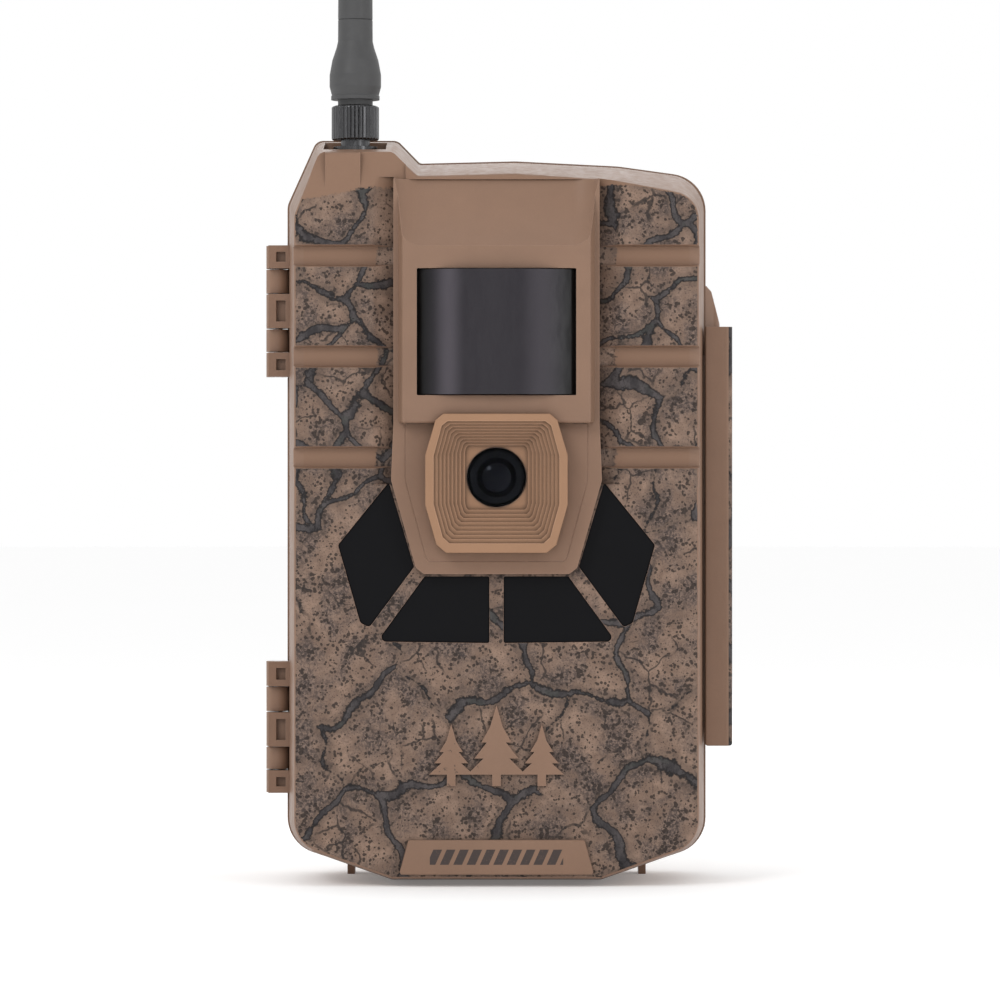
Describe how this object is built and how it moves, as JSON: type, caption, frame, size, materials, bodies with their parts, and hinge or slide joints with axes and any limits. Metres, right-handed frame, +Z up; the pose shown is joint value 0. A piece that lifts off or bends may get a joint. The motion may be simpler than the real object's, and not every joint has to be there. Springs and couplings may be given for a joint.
{
  "type": "trail camera",
  "caption": "Cellular trail camera with a hinged camouflage front, motion window, lens funnel, infrared panel, side latch, rear tree bracket and whip antenna.",
  "frame": {"origin": "mouth of the tripod socket in the bottom of the rear housing", "axes": "+X to the viewer's right when facing the camera, -Y towards the front, +Z up along the antenna"},
  "size_m": [0.0996, 0.0739, 0.345],
  "materials": {
    "camo_shell": "hydro-dipped woodland print, satin",
    "brown_shell": "fine texture",
    "tan_shell": "fine texture",
    "black_window": "infrared-pass, gloss",
    "motion_window": "dark translucent, satin",
    "clear_glass": "coated",
    "black_plastic": "satin",
    "seal_rubber": "matt",
    "brass": "machined",
    "steel": "brushed",
    "board": "solder mask",
    "cell_wrap": "printed wrap",
    "key_rubber": "matt",
    "card_plastic": "matt",
    "display_glass": "gloss"
  },
  "bodies": {
    "rear": {"rear_housing": "camo_shell", "rear_bracket": "brown_shell", "bracket_screws": "steel", "tripod_insert": "brass", "main_gasket": "seal_rubber", "battery_tray": "black_plastic", "aa_cells": "cell_wrap", "spring_contacts": "steel", "plate_contacts": "steel", "contact_pads": "brass", "hinge_pins": "steel", "latch_pin": "steel", "dc_jack": "black_plastic"},
    "cover": {"front_cover": "camo_shell", "sensor_pod": "brown_shell", "lens_bezel": "tan_shell", "lens_window": "clear_glass", "front_lens": "clear_glass", "lens_barrel": "black_plastic", "lens_holder": "black_plastic", "sensor_board": "board", "image_sensor": "black_plastic", "pir_window": "motion_window", "pir_board": "board", "pir_sensor": "steel", "ir_window_outer_left": "black_window", "ir_window_inner_left": "black_window", "ir_window_inner_right": "black_window", "ir_window_outer_right": "black_window", "led_board": "board", "ir_leds": "clear_glass", "emblem": "brown_shell", "lower_plaque": "brown_shell", "main_board": "board", "modem_module": "steel", "sma_jack": "brass", "coax_pigtail": "black_plastic", "inner_panel": "black_plastic", "panel_screws": "steel", "display": "display_glass", "display_window": "clear_glass", "usb_port": "steel", "sd_socket": "steel", "sim_socket": "steel", "dome_switches": "steel", "contact_pins": "brass"},
    "socket_flap": {"dc_plug": "seal_rubber"},
    "latch": {"latch_lever": "camo_shell"},
    "ir_cut": {"ir_cut_filter": "clear_glass"},
    "sd_card_body": {"sd_card": "card_plastic"},
    "sim_card_body": {"sim_card": "card_plastic"},
    "switch_knob": {"power_switch": "key_rubber"},
    "nut": {"antenna_nut": "black_plastic"},
    "whip": {"antenna_whip": "seal_rubber"},
    "button_up_key": {"button_up": "key_rubber"},
    "button_down_key": {"button_down": "key_rubber"},
    "button_left_key": {"button_left": "key_rubber"},
    "button_right_key": {"button_right": "key_rubber"},
    "button_ok_key": {"button_ok": "key_rubber"},
    "button_menu_key": {"button_menu": "key_rubber"}
  },
  "joints": [
    {"name": "cover_hinge", "type": "hinge", "parent": "rear", "child": "cover", "pos_m": [-0.0469, -0.013, 0.077], "axis": [0, 0, -1], "range_deg": [0, 115]},
    {"name": "latch_pivot", "type": "hinge", "parent": "rear", "child": "latch", "pos_m": [0.046, 0.0025, 0.077], "axis": [0, 0, 1], "range_deg": [0, 75]},
    {"name": "socket_flap_hinge", "type": "hinge", "parent": "rear", "child": "socket_flap", "pos_m": [0.0439, 0.0082, 0.016], "axis": [0, 0, 1], "range_deg": [0, 110]},
    {"name": "antenna_nut_spin", "type": "hinge", "parent": "cover", "child": "nut", "pos_m": [-0.03, -0.024, 0.161], "axis": [0, 0, 1], "continuous": true},
    {"name": "antenna_whip_spin", "type": "hinge", "parent": "cover", "child": "whip", "pos_m": [-0.03, -0.024, 0.165], "axis": [0, 0, 1], "continuous": true},
    {"name": "power_switch_slide", "type": "slide", "parent": "cover", "child": "switch_knob", "axis": [1, 0, 0], "range_m": [0, 0.004]},
    {"name": "sd_card_slide", "type": "slide", "parent": "cover", "child": "sd_card_body", "axis": [0, 0, -1], "range_m": [-0.0008, 0.004]},
    {"name": "sim_card_slide", "type": "slide", "parent": "cover", "child": "sim_card_body", "axis": [0, 0, -1], "range_m": [-0.0008, 0.004]},
    {"name": "ir_cut_slide", "type": "slide", "parent": "cover", "child": "ir_cut", "axis": [1, 0, 0], "range_m": [0, 0.0058]},
    {"name": "button_up_press", "type": "slide", "parent": "cover", "child": "button_up_key", "axis": [0, -1, 0], "range_m": [0, 0.0005], "stiffness_N_per_m": 1200},
    {"name": "button_down_press", "type": "slide", "parent": "cover", "child": "button_down_key", "axis": [0, -1, 0], "range_m": [0, 0.0005], "stiffness_N_per_m": 1200},
    {"name": "button_left_press", "type": "slide", "parent": "cover", "child": "button_left_key", "axis": [0, -1, 0], "range_m": [0, 0.0005], "stiffness_N_per_m": 1200},
    {"name": "button_right_press", "type": "slide", "parent": "cover", "child": "button_right_key", "axis": [0, -1, 0], "range_m": [0, 0.0005], "stiffness_N_per_m": 1200},
    {"name": "button_ok_press", "type": "slide", "parent": "cover", "child": "button_ok_key", "axis": [0, -1, 0], "range_m": [0, 0.0005], "stiffness_N_per_m": 1200},
    {"name": "button_menu_press", "type": "slide", "parent": "cover", "child": "button_menu_key", "axis": [0, -1, 0], "range_m": [0, 0.0005], "stiffness_N_per_m": 1200}
  ]
}
